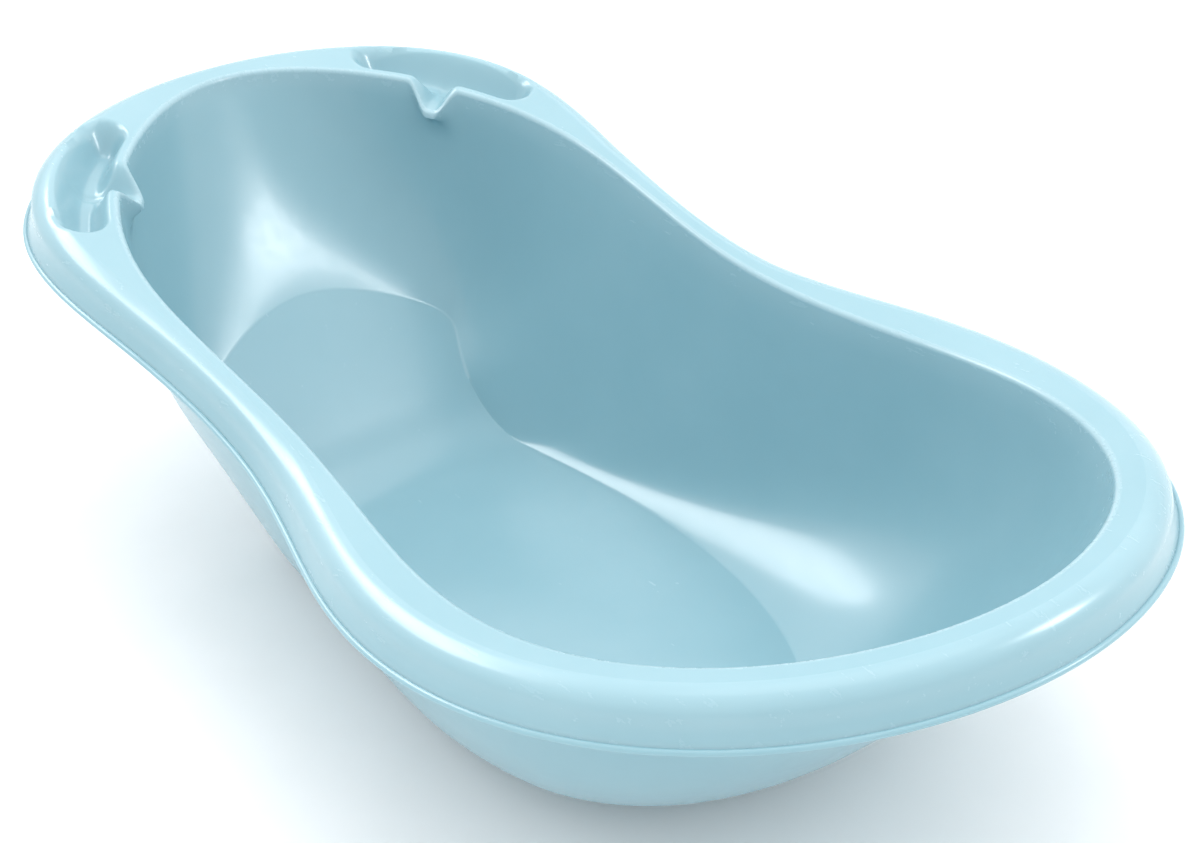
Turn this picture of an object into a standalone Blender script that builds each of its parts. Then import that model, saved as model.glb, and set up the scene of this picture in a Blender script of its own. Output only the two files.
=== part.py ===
"""Baby bathtub: one moulded hourglass tub with two soap trays, a lift-out drain stopper
with its soft seal and pull ring, and four soft foot pads.

Frame: +X towards the foot end, +Y across the tub, +Z up, in metres. The origin is at the
bottom centre, on the surface that the tub stands on.
"""

import math

import bmesh
import bpy
import numpy as np
from mathutils import Vector

# ---------------------------------------------------------------- overall sizes
LENGTH = 0.84              # over the skirt, head to foot
WIDTH = 0.49               # over the skirt at the foot bulge
WAIST_HEIGHT = 0.190       # basin edge above the ground at the waist, its lowest place
WALL = 0.003               # moulded wall thickness
GAP = 0.0003               # air between two pieces that touch on the real tub

# ---------------------------------------------------------------- plan outlines
# Half loops from the head's axis point round the +Y side to the foot's axis point, as
# spline control points in shares of half the shoulder's length and width.
MOUTH_LOOP = [(-0.96, 0.00), (-0.87, 0.35), (-0.675, 0.64), (-0.435, 0.775), (-0.045, 0.70),
              (0.27, 0.83), (0.56, 0.865), (0.845, 0.575), (0.967, 0.00)]
FLOOR_LOOP = [(-0.76, 0.00), (-0.68, 0.38), (-0.63, 0.50), (-0.57, 0.39), (-0.37, 0.45),
              (-0.025, 0.525), (0.30, 0.42), (0.48, 0.215), (0.538, 0.00)]
BELLY_LOOP = [(-0.87, 0.00), (-0.80, 0.45), (-0.63, 0.69), (-0.375, 0.655), (-0.05, 0.64),
              (0.293, 0.82), (0.57, 0.86), (0.705, 0.56), (0.752, 0.00)]
HALF_STATIONS = 32         # sections round one side of the tub
TRAY_STATIONS = 18         # closer sections through one tray

# ---------------------------------------------------------------- rim
RIM_WIDTHS = [0.021, 0.047, 0.071, 0.018, 0.021, 0.044, 0.035, 0.033, 0.030]
RIM_RISES = [0.084, 0.062, 0.035, 0.004, 0.0, 0.017, 0.049]   # basin edge over WAIST_HEIGHT, head to foot
LIP_RADIUS = 0.004         # rounding from the basin wall to the rim's top
BAND_SLOPE = 0.20          # the rim's top rises outwards, so splashes run back
ROLL_WIDTH = 0.016         # shoulder rounding, across
ROLL_DROP = 0.012          # shoulder rounding, down
SKIRT_DROP = 0.023         # skirt's bottom edge below the basin edge
SKIRT_FLARE = 0.006        # skirt's lean outwards

# ---------------------------------------------------------------- basin
GROUND_CLEARANCE = 0.006   # floor's underside above the ground
BELLY_SHARES = [0.38, 0.37, 0.26, 0.10, 0.10, 0.15, 0.20, 0.22, 0.22]   # wall's bulge, shares of its height
DRAFT = 0.003              # the bulge stays this far inside the basin edge
SEAT_START = -0.18         # the floor starts to climb to the back rest here
SEAT_ROUND = 0.03          # run of the bend at the start of the climb
SEAT_SLOPE = 1.0
WALL_ROWS = 6
FLOOR_STRIPS = 4

# ---------------------------------------------------------------- soap trays and pouring lips
TRAY_FROM = 0.066          # shares of the way round the basin edge from the head
TRAY_TO = 0.148
TRAY_MARGIN = 0.006        # rim left between the basin edge and the tray
TRAY_HALF_WIDTH = 0.019
TRAY_DEPTH = 0.022
TRAY_SLOPE_RUN = 0.010     # plan width of the tray's sloping wall
SPOUT_REACH = 0.019        # pouring lip's tip, inwards from the basin edge
SPOUT_DROP = 0.015         # tip's edge below the rim
SPOUT_HALF_WIDTH = 0.0215  # at the basin edge
SPOUT_TIP_SHARE = 0.12     # rounded tip, as a share of the lip's width
SPOUT_ROOT = 0.035         # height of basin wall that swells out to carry the lip
SPOUT_TRAY_DEPTH = 0.018   # channel's bottom below the rim where it leaves the tray

# ---------------------------------------------------------------- drain and stopper
DRAIN_X = 0.150
DRAIN_RADIUS = 0.018
COLLAR_WALL = 0.004
COLLAR_BOTTOM = 0.002      # collar's lower face above the ground
STOPPER_HEAD_RADIUS = 0.025
STOPPER_HEAD_THICKNESS = 0.003
STOPPER_STEM_RADIUS = 0.0145
STOPPER_LIP_RADIUS = 0.0165
STOPPER_LIP_THICKNESS = 0.0012
LUG_LENGTH = 0.007
LUG_WIDTH = 0.008
LUG_HEIGHT = 0.0065
PULL_WIRE_RADIUS = 0.0015
PULL_HALF_WIDTH = 0.012
PULL_LENGTH = 0.020

# ---------------------------------------------------------------- foot pads
PAD_RADIUS = 0.014
PAD_CHAMFER = 0.001
PAD_SOCKET_WALL = 0.003
PAD_SOCKET_BOTTOM = 0.003  # socket ring's lower face above the ground
PAD_SOCKET_BITE = 0.0005   # socket's depth into the floor
PAD_X = (-0.115, 0.085)
PAD_Y = 0.070

FLOOR_TOP = GROUND_CLEARANCE + WALL
BAND_ROWS = 8
SHOULDER_STEPS = 3
ROLL_SHARE = 0.7           # most of a narrow rim that its shoulder may take
LIP_STEPS = 2
ROUND_SIDES = 40


# ---------------------------------------------------------------- materials
def material(name, colour, roughness, metallic=0.0):
    """Make a Principled material from a linear colour."""
    mat = bpy.data.materials.new(name)
    mat.use_nodes = True
    shader = mat.node_tree.nodes["Principled BSDF"]
    shader.inputs["Base Color"].default_value = (*colour, 1.0)
    shader.inputs["Roughness"].default_value = roughness
    shader.inputs["Metallic"].default_value = metallic
    return mat


# ---------------------------------------------------------------- splines
def mirrored(half_loop):
    """Close a half loop of (x, y) or (value,) rows with its mirror image."""
    half = np.array(half_loop, float)
    other = half[-2:0:-1].copy()
    if half.shape[1] == 2:
        other[:, 1] *= -1
    return np.vstack([half, other])


def blend_weights(fraction):
    """Weights of the four control points round a place on a uniform cubic B-spline."""
    f = fraction
    return np.stack([(1 - f) ** 3, 3 * f ** 3 - 6 * f ** 2 + 4,
                     -3 * f ** 3 + 3 * f ** 2 + 3 * f + 1, f ** 3], axis=-1) / 6


def loop_at(controls, shares):
    """Points of a closed spline at the given shares of the way round."""
    place = np.asarray(shares, float) * len(controls)
    cell = np.floor(place).astype(int)
    weights = blend_weights(place - cell)
    near = np.stack([controls[(cell + k) % len(controls)] for k in (-1, 0, 1, 2)], axis=1)
    return np.einsum("ij,ijk->ik", weights, near)


def profile_at(values, shares):
    """Heights of an open spline that starts and ends at its first and last values."""
    values = np.asarray(values, float)
    padded = np.concatenate([[2 * values[0] - values[1]], values, [2 * values[-1] - values[-2]]])
    place = np.clip(shares, 0, 1) * (len(values) - 1)
    cell = np.minimum(np.floor(place).astype(int), len(values) - 2)
    near = np.stack([padded[cell + k] for k in range(4)], axis=-1)
    return (blend_weights(place - cell) * near).sum(axis=-1)


SCALE = np.array([LENGTH / 2 - SKIRT_FLARE, WIDTH / 2 - SKIRT_FLARE])


class Sections:
    """The tub's sections at shares of the way round the basin edge, head to head."""

    def __init__(self, shares):
        self.shares = np.asarray(shares, float)
        step = 1e-4
        mouth = mirrored(MOUTH_LOOP) * SCALE
        self.mouth = loop_at(mouth, self.shares)
        along = loop_at(mouth, self.shares + step) - loop_at(mouth, self.shares - step)
        pace = np.linalg.norm(along, axis=1)
        along /= pace[:, None]
        self.pace = pace / (2 * step)
        self.out = np.stack([-along[:, 1], along[:, 0]], axis=1)
        self.width = loop_at(mirrored([[w] for w in RIM_WIDTHS]), self.shares)[:, 0]
        self.roll = np.minimum(ROLL_WIDTH, ROLL_SHARE * (self.width - LIP_RADIUS))
        self.floor = loop_at(mirrored(FLOOR_LOOP) * SCALE, self.shares)
        self.floor_z = floor_height(self.floor[:, 0])
        belly = loop_at(mirrored(BELLY_LOOP) * SCALE, self.shares)
        overhang = ((belly - self.mouth) * self.out).sum(axis=1) + DRAFT
        self.belly = belly - self.out * np.maximum(overhang, 0)[:, None]
        self.edge_z = edge_height(self.mouth[:, 0])
        self.belly_share = loop_at(mirrored([[b] for b in BELLY_SHARES]), self.shares)[:, 0]
        half = np.minimum(self.shares % 1, 1 - self.shares % 1)
        self.from_tray = (half - (TRAY_FROM + TRAY_TO) / 2) * self.pace
        self.tray_half = (TRAY_TO - TRAY_FROM) / 2 * self.pace

    def spout(self, share):
        """How fully each section lies in the pouring lip, at a share of its full width."""
        across = np.abs(self.from_tray) / (SPOUT_HALF_WIDTH * share)
        return 1 - smooth_step((across - SPOUT_TIP_SHARE) / (1 - SPOUT_TIP_SHARE))

    def hollow(self, reach):
        """Depth of the soap tray and its pouring channel below the rim's top."""
        end = np.maximum(np.abs(self.from_tray) - (self.tray_half - TRAY_HALF_WIDTH), 0)
        inside = TRAY_HALF_WIDTH - np.hypot(end, reach - TRAY_MARGIN - TRAY_HALF_WIDTH)
        tray = TRAY_DEPTH * smooth_step(inside / TRAY_SLOPE_RUN)
        run = np.clip(reach / (TRAY_MARGIN + TRAY_HALF_WIDTH), 0, 1)
        bed = SPOUT_DROP + (SPOUT_TRAY_DEPTH - SPOUT_DROP) * run
        fade = smooth_step((TRAY_MARGIN + 2 * TRAY_HALF_WIDTH - reach) / TRAY_HALF_WIDTH)
        return np.maximum(tray, bed * self.spout(1 - run / 2) * fade)

    def rim_point(self, reach):
        """Points on the rim's top, `reach` outwards from the basin edge."""
        reach = np.broadcast_to(reach, self.width.shape)
        turn = np.clip((reach - (self.width - self.roll)) / self.roll, 0, 1)
        lip = np.clip(1 - reach / LIP_RADIUS, 0, 1)
        z = (self.edge_z + BAND_SLOPE * np.maximum(np.minimum(reach, self.width - self.roll)
                                                   - LIP_RADIUS, 0)
             - ROLL_DROP * (1 - np.sqrt(1 - turn ** 2))
             - LIP_RADIUS * (1 - np.sqrt(1 - lip ** 2)) - self.hollow(reach))
        pull = np.clip(1 - reach / (TRAY_MARGIN + TRAY_HALF_WIDTH), 0, 1)
        plan = self.mouth + self.out * (reach - SPOUT_REACH * self.spout(1.0) * pull)[:, None]
        return np.column_stack([plan, z])

    def wall_point(self, climb):
        """Points on the basin wall, from the floor (0) to the basin edge (1)."""
        low, mid, high = (1 - climb) ** 2, 2 * climb * (1 - climb), climb ** 2
        top_z = self.edge_z - LIP_RADIUS
        belly_z = self.floor_z + self.belly_share * (top_z - self.floor_z)
        plan = self.floor * low + self.belly * mid + self.mouth * high
        z = self.floor_z * low + belly_z * mid + top_z * high
        swell = self.spout(1.0) * np.clip(1 - (top_z - z) / SPOUT_ROOT, 0, 1) ** 1.5
        return np.column_stack([plan - self.out * (SPOUT_REACH * swell)[:, None],
                                z - SPOUT_DROP * swell])


def smooth_step(value):
    """Ease from 0 to 1."""
    value = np.clip(value, 0, 1)
    return value * value * (3 - 2 * value)


def edge_height(x):
    """Height of the basin edge above the ground."""
    return WAIST_HEIGHT + profile_at(RIM_RISES, (np.asarray(x) + LENGTH / 2) / LENGTH)


def floor_height(x):
    """Height of the floor's top: flat, then climbing to the back rest."""
    run = np.maximum(SEAT_START - np.asarray(x), 0)
    bend = np.minimum(run, SEAT_ROUND)
    return FLOOR_TOP + SEAT_SLOPE * (bend ** 2 / (2 * SEAT_ROUND) + run - bend)


# ---------------------------------------------------------------- meshes
def new_object(name, bm, collection, mat=None, smooth=True):
    """Turn a bmesh into a named object in a collection."""
    bmesh.ops.remove_doubles(bm, verts=bm.verts, dist=1e-6)
    bmesh.ops.recalc_face_normals(bm, faces=bm.faces)
    mesh = bpy.data.meshes.new(name)
    bm.to_mesh(mesh)
    bm.free()
    if smooth:
        mesh.shade_smooth()
        mesh.set_sharp_from_angle(angle=math.radians(35))
    if mat:
        mesh.materials.append(mat)
    obj = bpy.data.objects.new(name, mesh)
    collection.objects.link(obj)
    return obj


def cylinder(name, radius, low, high, place, collection, mat=None):
    """An upright cylinder from `low` to `high`."""
    bm = bmesh.new()
    bmesh.ops.create_cone(bm, cap_ends=True, segments=ROUND_SIDES, radius1=radius, radius2=radius,
                          depth=high - low)
    bmesh.ops.translate(bm, verts=bm.verts, vec=(*place, (low + high) / 2))
    return new_object(name, bm, collection, mat)


def turned(name, profile, place, collection, mat):
    """A round piece turned from an outline of (radius, z) points, axis point to axis point."""
    mesh = bpy.data.meshes.new(name)
    edges = [(k, k + 1) for k in range(len(profile) - 1)]
    if profile[0][0] > 0:
        edges.append((len(profile) - 1, 0))
    mesh.from_pydata([(r, 0, z) for r, z in profile], edges, [])
    mesh.materials.append(mat)
    obj = bpy.data.objects.new(name, mesh)
    obj.location = (*place, 0)
    collection.objects.link(obj)
    screw = obj.modifiers.new("turn", "SCREW")
    screw.steps = screw.render_steps = ROUND_SIDES
    screw.use_merge_vertices = True
    screw.merge_threshold = 0.00001
    screw.use_smooth_shade = True
    return obj


def boolean(obj, cutter, operation):
    """Cut or join with an exact Boolean, leaving the other solid as a guide."""
    step = obj.modifiers.new(operation.lower() + "_" + cutter.name, "BOOLEAN")
    step.operation = operation
    step.solver = "EXACT"
    step.object = cutter
    cutter.hide_render = True
    cutter.display_type = "WIRE"


# ---------------------------------------------------------------- the tub
def station_shares():
    """Shares of the way round, closer together through the trays, the same on both sides."""
    even = np.linspace(0, 0.5, HALF_STATIONS + 1)
    pad = (TRAY_TO - TRAY_FROM) * 0.06
    close = np.linspace(TRAY_FROM - pad, TRAY_TO + pad, TRAY_STATIONS)
    spare = even[(even < close[0] - pad) | (even > close[-1] + pad)]
    half = np.sort(np.concatenate([spare, close]))
    return np.concatenate([half, 1 - half[-2:0:-1]])


def tub_rows(at):
    """Rows of points over the sheet's upper side, from the floor's edge to the skirt's hem."""
    rows = [at.wall_point(k / WALL_ROWS) for k in range(WALL_ROWS + 1)]
    rows += [at.rim_point(LIP_RADIUS * (1 - math.cos(math.pi / 2 * k / LIP_STEPS)))
             for k in range(1, LIP_STEPS)]
    band = at.width - at.roll - LIP_RADIUS
    rows += [at.rim_point(LIP_RADIUS + band * k / BAND_ROWS) for k in range(BAND_ROWS)]
    rows += [at.rim_point(at.width - at.roll * (1 - math.sin(math.pi / 2 * k / SHOULDER_STEPS)))
             for k in range(SHOULDER_STEPS + 1)]
    hem = at.mouth + at.out * (at.width + SKIRT_FLARE)[:, None]
    return rows + [np.column_stack([hem, at.edge_z - SKIRT_DROP])]


def tub_skin(collection, mat):
    """The moulded sheet: floor, walls, rim and skirt, thickened downwards and outwards."""
    shares = station_shares()
    count = len(shares)
    bm = bmesh.new()
    grid = [[bm.verts.new(point) for point in row] for row in tub_rows(Sections(shares))]
    for low, high in zip(grid, grid[1:]):
        for k in range(count):
            n = (k + 1) % count
            bm.faces.new((low[k], low[n], high[n], high[k]))
    strips = []
    for k in range(count // 2 + 1):
        left, right = grid[0][k], grid[0][-k]
        inner = [bm.verts.new(left.co.lerp(right.co, j / FLOOR_STRIPS)) for j in range(1, FLOOR_STRIPS)]
        strips.append([left, *inner, right])
    for a, b in zip(strips, strips[1:]):
        for j in range(FLOOR_STRIPS):
            corners = (a[j], a[j + 1], b[j + 1], b[j])
            if len(set(corners)) == 4:
                bm.faces.new(corners)
    bmesh.ops.remove_doubles(bm, verts=bm.verts, dist=1e-6)
    bmesh.ops.recalc_face_normals(bm, faces=bm.faces)
    if min(bm.faces, key=lambda f: f.calc_center_median().length).normal.z < 0:
        bmesh.ops.reverse_faces(bm, faces=bm.faces)
    mesh = bpy.data.meshes.new("tub_shell")
    bm.to_mesh(mesh)
    bm.free()
    mesh.shade_smooth()
    mesh.materials.append(mat)
    tub = bpy.data.objects.new("tub_shell", mesh)
    collection.objects.link(tub)
    skin = tub.modifiers.new("wall", "SOLIDIFY")
    skin.thickness = WALL
    skin.offset = -1
    skin.use_even_offset = True
    return tub


def pad_places():
    """Plan positions of the four foot pads, named by where they are."""
    return {f"foot_pad_{end}_{hand}": (x, y)
            for end, x in zip(("head", "foot"), PAD_X)
            for hand, y in (("left", PAD_Y), ("right", -PAD_Y))}


def build_tub(parts, helpers, mat):
    """The whole moulding: the sheet with its drain collar and pad sockets."""
    tub = tub_skin(parts, mat)
    bosses = []
    hollows = []
    middle = GROUND_CLEARANCE + WALL / 2
    drain = (DRAIN_X, 0.0)
    bosses.append(cylinder("collar_guide", DRAIN_RADIUS + COLLAR_WALL, COLLAR_BOTTOM, middle,
                           drain, helpers))
    hollows.append(cylinder("drain_cutter", DRAIN_RADIUS, 0.0, FLOOR_TOP + WALL, drain, helpers))
    for place in pad_places().values():
        radius = PAD_RADIUS + GAP
        bosses.append(cylinder("socket_guide", radius + PAD_SOCKET_WALL, PAD_SOCKET_BOTTOM, middle,
                               place, helpers))
        hollows.append(cylinder("socket_cutter", radius, 0.0, GROUND_CLEARANCE + PAD_SOCKET_BITE,
                                place, helpers))
    for boss in bosses:
        boolean(tub, boss, "UNION")
    for hollow in hollows:
        boolean(tub, hollow, "DIFFERENCE")
    return tub


# ---------------------------------------------------------------- stopper, seal and pull ring
HEAD_BOTTOM = FLOOR_TOP + GAP
HEAD_TOP = HEAD_BOTTOM + STOPPER_HEAD_THICKNESS
STEM_BOTTOM = COLLAR_BOTTOM + GAP
LIP_TOP = STEM_BOTTOM + STOPPER_LIP_THICKNESS
PULL_AXIS_Z = HEAD_TOP + LUG_HEIGHT / 2


def build_stopper(parts, helpers, mat):
    """The stopper's head, stem and retaining lip, with a bored lug for the pull ring."""
    edge = STOPPER_HEAD_THICKNESS / 3
    profile = [(0, HEAD_TOP), (STOPPER_HEAD_RADIUS - edge, HEAD_TOP), (STOPPER_HEAD_RADIUS, HEAD_TOP - edge),
               (STOPPER_HEAD_RADIUS, HEAD_BOTTOM), (STOPPER_STEM_RADIUS, HEAD_BOTTOM),
               (STOPPER_STEM_RADIUS, LIP_TOP), (STOPPER_LIP_RADIUS, LIP_TOP),
               (STOPPER_LIP_RADIUS - edge / 2, STEM_BOTTOM), (0, STEM_BOTTOM)]
    stopper = turned("drain_stopper", profile, (DRAIN_X, 0.0), parts, mat)
    bm = bmesh.new()
    bmesh.ops.create_cube(bm, size=1.0)
    bmesh.ops.scale(bm, verts=bm.verts, vec=(LUG_LENGTH, LUG_WIDTH, LUG_HEIGHT + edge))
    bmesh.ops.translate(bm, verts=bm.verts, vec=(DRAIN_X, 0, HEAD_TOP + (LUG_HEIGHT - edge) / 2))
    boolean(stopper, new_object("lug_guide", bm, helpers, smooth=False), "UNION")
    bm = bmesh.new()
    bore = PULL_WIRE_RADIUS + GAP
    bmesh.ops.create_cone(bm, cap_ends=True, segments=16, radius1=bore, radius2=bore, depth=2 * LUG_WIDTH)
    for vert in bm.verts:
        vert.co = Vector((vert.co.x + DRAIN_X, vert.co.z, vert.co.y + PULL_AXIS_Z))
    boolean(stopper, new_object("lug_bore_cutter", bm, helpers), "DIFFERENCE")
    return stopper


def build_seal(parts, mat):
    """The soft sealing ring held between the stopper's head and its retaining lip."""
    inner = STOPPER_STEM_RADIUS + GAP
    outer = DRAIN_RADIUS - GAP
    low = LIP_TOP + GAP
    high = HEAD_BOTTOM - GAP
    crown = (high - low) / 4
    profile = [(inner, high), (outer - crown, high), (outer, high - crown), (outer, low + crown),
               (outer - crown, low), (inner, low)]
    return turned("stopper_seal", profile, (DRAIN_X, 0.0), parts, mat)


def build_pull_ring(parts, mat):
    """The pull ring: a D of wire whose straight bar turns in the stopper's lug."""
    corner = PULL_HALF_WIDTH * 0.45
    path = [(0.0, 0.0), (0.0, PULL_HALF_WIDTH - corner), (corner * 0.3, PULL_HALF_WIDTH - corner * 0.3),
            (corner, PULL_HALF_WIDTH)]
    bend = PULL_LENGTH - PULL_HALF_WIDTH
    path += [(bend + PULL_HALF_WIDTH * math.sin(turn), PULL_HALF_WIDTH * math.cos(turn))
             for turn in np.radians([0, 30, 60])]
    far_side = [(x, -y) for x, y in path[:0:-1]]
    path = path + [(PULL_LENGTH, 0.0)] + far_side
    curve = bpy.data.curves.new("pull_ring", "CURVE")
    curve.dimensions = "3D"
    curve.bevel_depth = PULL_WIRE_RADIUS
    curve.bevel_resolution = 2
    wire = curve.splines.new("POLY")
    wire.points.add(len(path) - 1)
    for point, (x, y) in zip(wire.points, path):
        point.co = (x, y, 0, 1)
    wire.use_cyclic_u = True
    curve.materials.append(mat)
    ring = bpy.data.objects.new("pull_ring", curve)
    ring.location = (DRAIN_X, 0, PULL_AXIS_Z)
    parts.objects.link(ring)
    return ring


# ---------------------------------------------------------------- foot pads
def build_pads(parts, mat):
    """Four soft pads in the sockets under the floor."""
    top = GROUND_CLEARANCE + PAD_SOCKET_BITE - GAP
    profile = [(0, top), (PAD_RADIUS - PAD_CHAMFER, top), (PAD_RADIUS, top - PAD_CHAMFER),
               (PAD_RADIUS, PAD_CHAMFER), (PAD_RADIUS - PAD_CHAMFER, 0), (0, 0)]
    return [turned(name, profile, place, parts, mat) for name, place in pad_places().items()]


def main():
    """Clear the scene and build every piece."""
    for obj in list(bpy.data.objects):
        bpy.data.objects.remove(obj, do_unlink=True)
    parts = bpy.data.collections.new("baby_bathtub")
    helpers = bpy.data.collections.new("cutters")
    for collection in (parts, helpers):
        bpy.context.scene.collection.children.link(collection)
    shell = material("pale_blue_polypropylene", (0.26, 0.44, 0.52), 0.22)
    plug = material("white_polypropylene", (0.70, 0.74, 0.75), 0.35)
    soft = material("grey_soft_rubber", (0.30, 0.33, 0.35), 0.65)
    build_tub(parts, helpers, shell)
    build_stopper(parts, helpers, plug)
    build_seal(parts, soft)
    build_pull_ring(parts, plug)
    build_pads(parts, soft)


main()
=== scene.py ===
"""Looks of the baby bathtub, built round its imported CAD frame.

The tub is one glossy moulding. Its basin, rim, soap trays and pouring lips are lofted as the CAD
solid's are, through many more sections. The seat's edge is softer than the solid's, the trays'
sides are gentler, and the lips drop further and reach less. The stopper, its seal, its pull ring
and the foot pads are small turned or swept pieces with moulded detail.

Frame: +X towards the foot end, +Y across the tub, +Z up, in metres.
"""

import logging
import math
from dataclasses import dataclass, field
from enum import Enum
from typing import Callable, Sequence

import bmesh
import bpy
import numpy as np
from mathutils import Matrix, Vector


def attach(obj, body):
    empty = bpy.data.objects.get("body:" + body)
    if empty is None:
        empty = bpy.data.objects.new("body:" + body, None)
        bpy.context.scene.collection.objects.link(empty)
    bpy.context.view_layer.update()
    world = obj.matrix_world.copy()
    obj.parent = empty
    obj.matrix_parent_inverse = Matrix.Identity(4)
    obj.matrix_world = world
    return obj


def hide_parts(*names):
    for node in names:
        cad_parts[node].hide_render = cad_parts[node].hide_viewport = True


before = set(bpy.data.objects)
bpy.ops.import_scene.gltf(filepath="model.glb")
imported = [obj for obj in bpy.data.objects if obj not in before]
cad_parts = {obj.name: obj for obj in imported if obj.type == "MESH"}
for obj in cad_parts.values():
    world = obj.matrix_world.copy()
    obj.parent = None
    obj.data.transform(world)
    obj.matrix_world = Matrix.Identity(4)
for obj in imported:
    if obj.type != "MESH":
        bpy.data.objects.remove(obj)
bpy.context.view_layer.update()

log = logging.getLogger("baby_bathtub")

Array = np.ndarray
Point = tuple[float, float, float]

MM = 0.001
MERGE_DISTANCE = 1e-6


class Body(str, Enum):
    """The CAD bodies that pieces ride on."""

    TUB = "tub"
    STOPPER = "stopper"
    PULL_RING = "pull_ring"


class Slot(str, Enum):
    """The record's material slots."""

    TUB = "tub_plastic"
    STOPPER = "stopper_plastic"
    SEAL = "seal_rubber"
    PAD = "pad_rubber"


# ---------------------------------------------------------------- colours and finishes
def linear(hex_colour: str) -> tuple[float, float, float, float]:
    """Turn an sRGB hex colour into the linear RGBA that shader nodes take.

    Args:
        hex_colour: six hex digits, with or without a leading hash.

    Returns:
        Linear red, green and blue, and an alpha of 1.
    """
    digits = hex_colour.lstrip("#")
    parts = [int(digits[k:k + 2], 16) / 255 for k in (0, 2, 4)]
    r, g, b = (p / 12.92 if p <= 0.04045 else ((p + 0.055) / 1.055) ** 2.4 for p in parts)
    return (r, g, b, 1.0)


@dataclass(frozen=True)
class PlasticFinish:
    """A moulded polypropylene finish."""

    name: str
    colour: str
    shade: str
    roughness: float
    roughness_spread: float
    grain_mm: float
    grain_depth: float
    coat: float
    glow: float


@dataclass(frozen=True)
class RubberFinish:
    """A soft rubber finish."""

    name: str
    colour: str
    bloom: str
    roughness: float
    grain_mm: float
    grain_depth: float


GLOSSY_BLUE = PlasticFinish(
    name="glossy_pale_blue_polypropylene", colour="#8EB4BF", shade="#82ABB7", roughness=0.24,
    roughness_spread=0.06, grain_mm=1.4, grain_depth=0.035, coat=0.12, glow=0.06)
SATIN_WHITE = PlasticFinish(
    name="satin_white_polypropylene", colour="#D9DEDE", shade="#CBD2D3", roughness=0.36,
    roughness_spread=0.08, grain_mm=0.6, grain_depth=0.10, coat=0.0, glow=0.05)
SOFT_GREY = RubberFinish(name="soft_grey_rubber", colour="#8A9296", bloom="#A5ACAF",
                         roughness=0.68, grain_mm=0.35, grain_depth=0.22)
PALE_FLOOR = RubberFinish(name="pale_studio_floor", colour="#F4F5F6", bloom="#EEF0F1",
                          roughness=0.85, grain_mm=3.0, grain_depth=0.02)


class NodeGraph:
    """A small helper that adds and links shader or geometry nodes."""

    def __init__(self, tree: bpy.types.NodeTree) -> None:
        self.tree = tree

    def add(self, kind: str, links: dict | None = None, **settings: object) -> bpy.types.Node:
        """Add a node.

        Args:
            kind: the node's Blender type.
            links: input name or number to a constant or to an output socket.
            settings: the node's own properties.

        Returns:
            The new node.
        """
        node = self.tree.nodes.new(kind)
        for key, value in settings.items():
            setattr(node, key, value)
        for key, value in (links or {}).items():
            socket = node.inputs[key]
            if isinstance(value, bpy.types.NodeSocket):
                self.tree.links.new(value, socket)
            else:
                socket.default_value = value
        return node


def modifier_tree(name: str, sizes: Sequence[str]) -> tuple[NodeGraph, bpy.types.Node, list[str]]:
    """Start a Geometry Nodes tree that takes a geometry and some sizes.

    Args:
        name: the tree's name.
        sizes: names of its float inputs.

    Returns:
        The graph, its input node and the identifiers of the float inputs.
    """
    tree = bpy.data.node_groups.new(name, "GeometryNodeTree")
    tree.interface.new_socket("Geometry", in_out="INPUT", socket_type="NodeSocketGeometry")
    inputs = [tree.interface.new_socket(size, in_out="INPUT", socket_type="NodeSocketFloat")
              for size in sizes]
    tree.interface.new_socket("Geometry", in_out="OUTPUT", socket_type="NodeSocketGeometry")
    graph = NodeGraph(tree)
    return graph, graph.add("NodeGroupInput"), [socket.identifier for socket in inputs]


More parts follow.
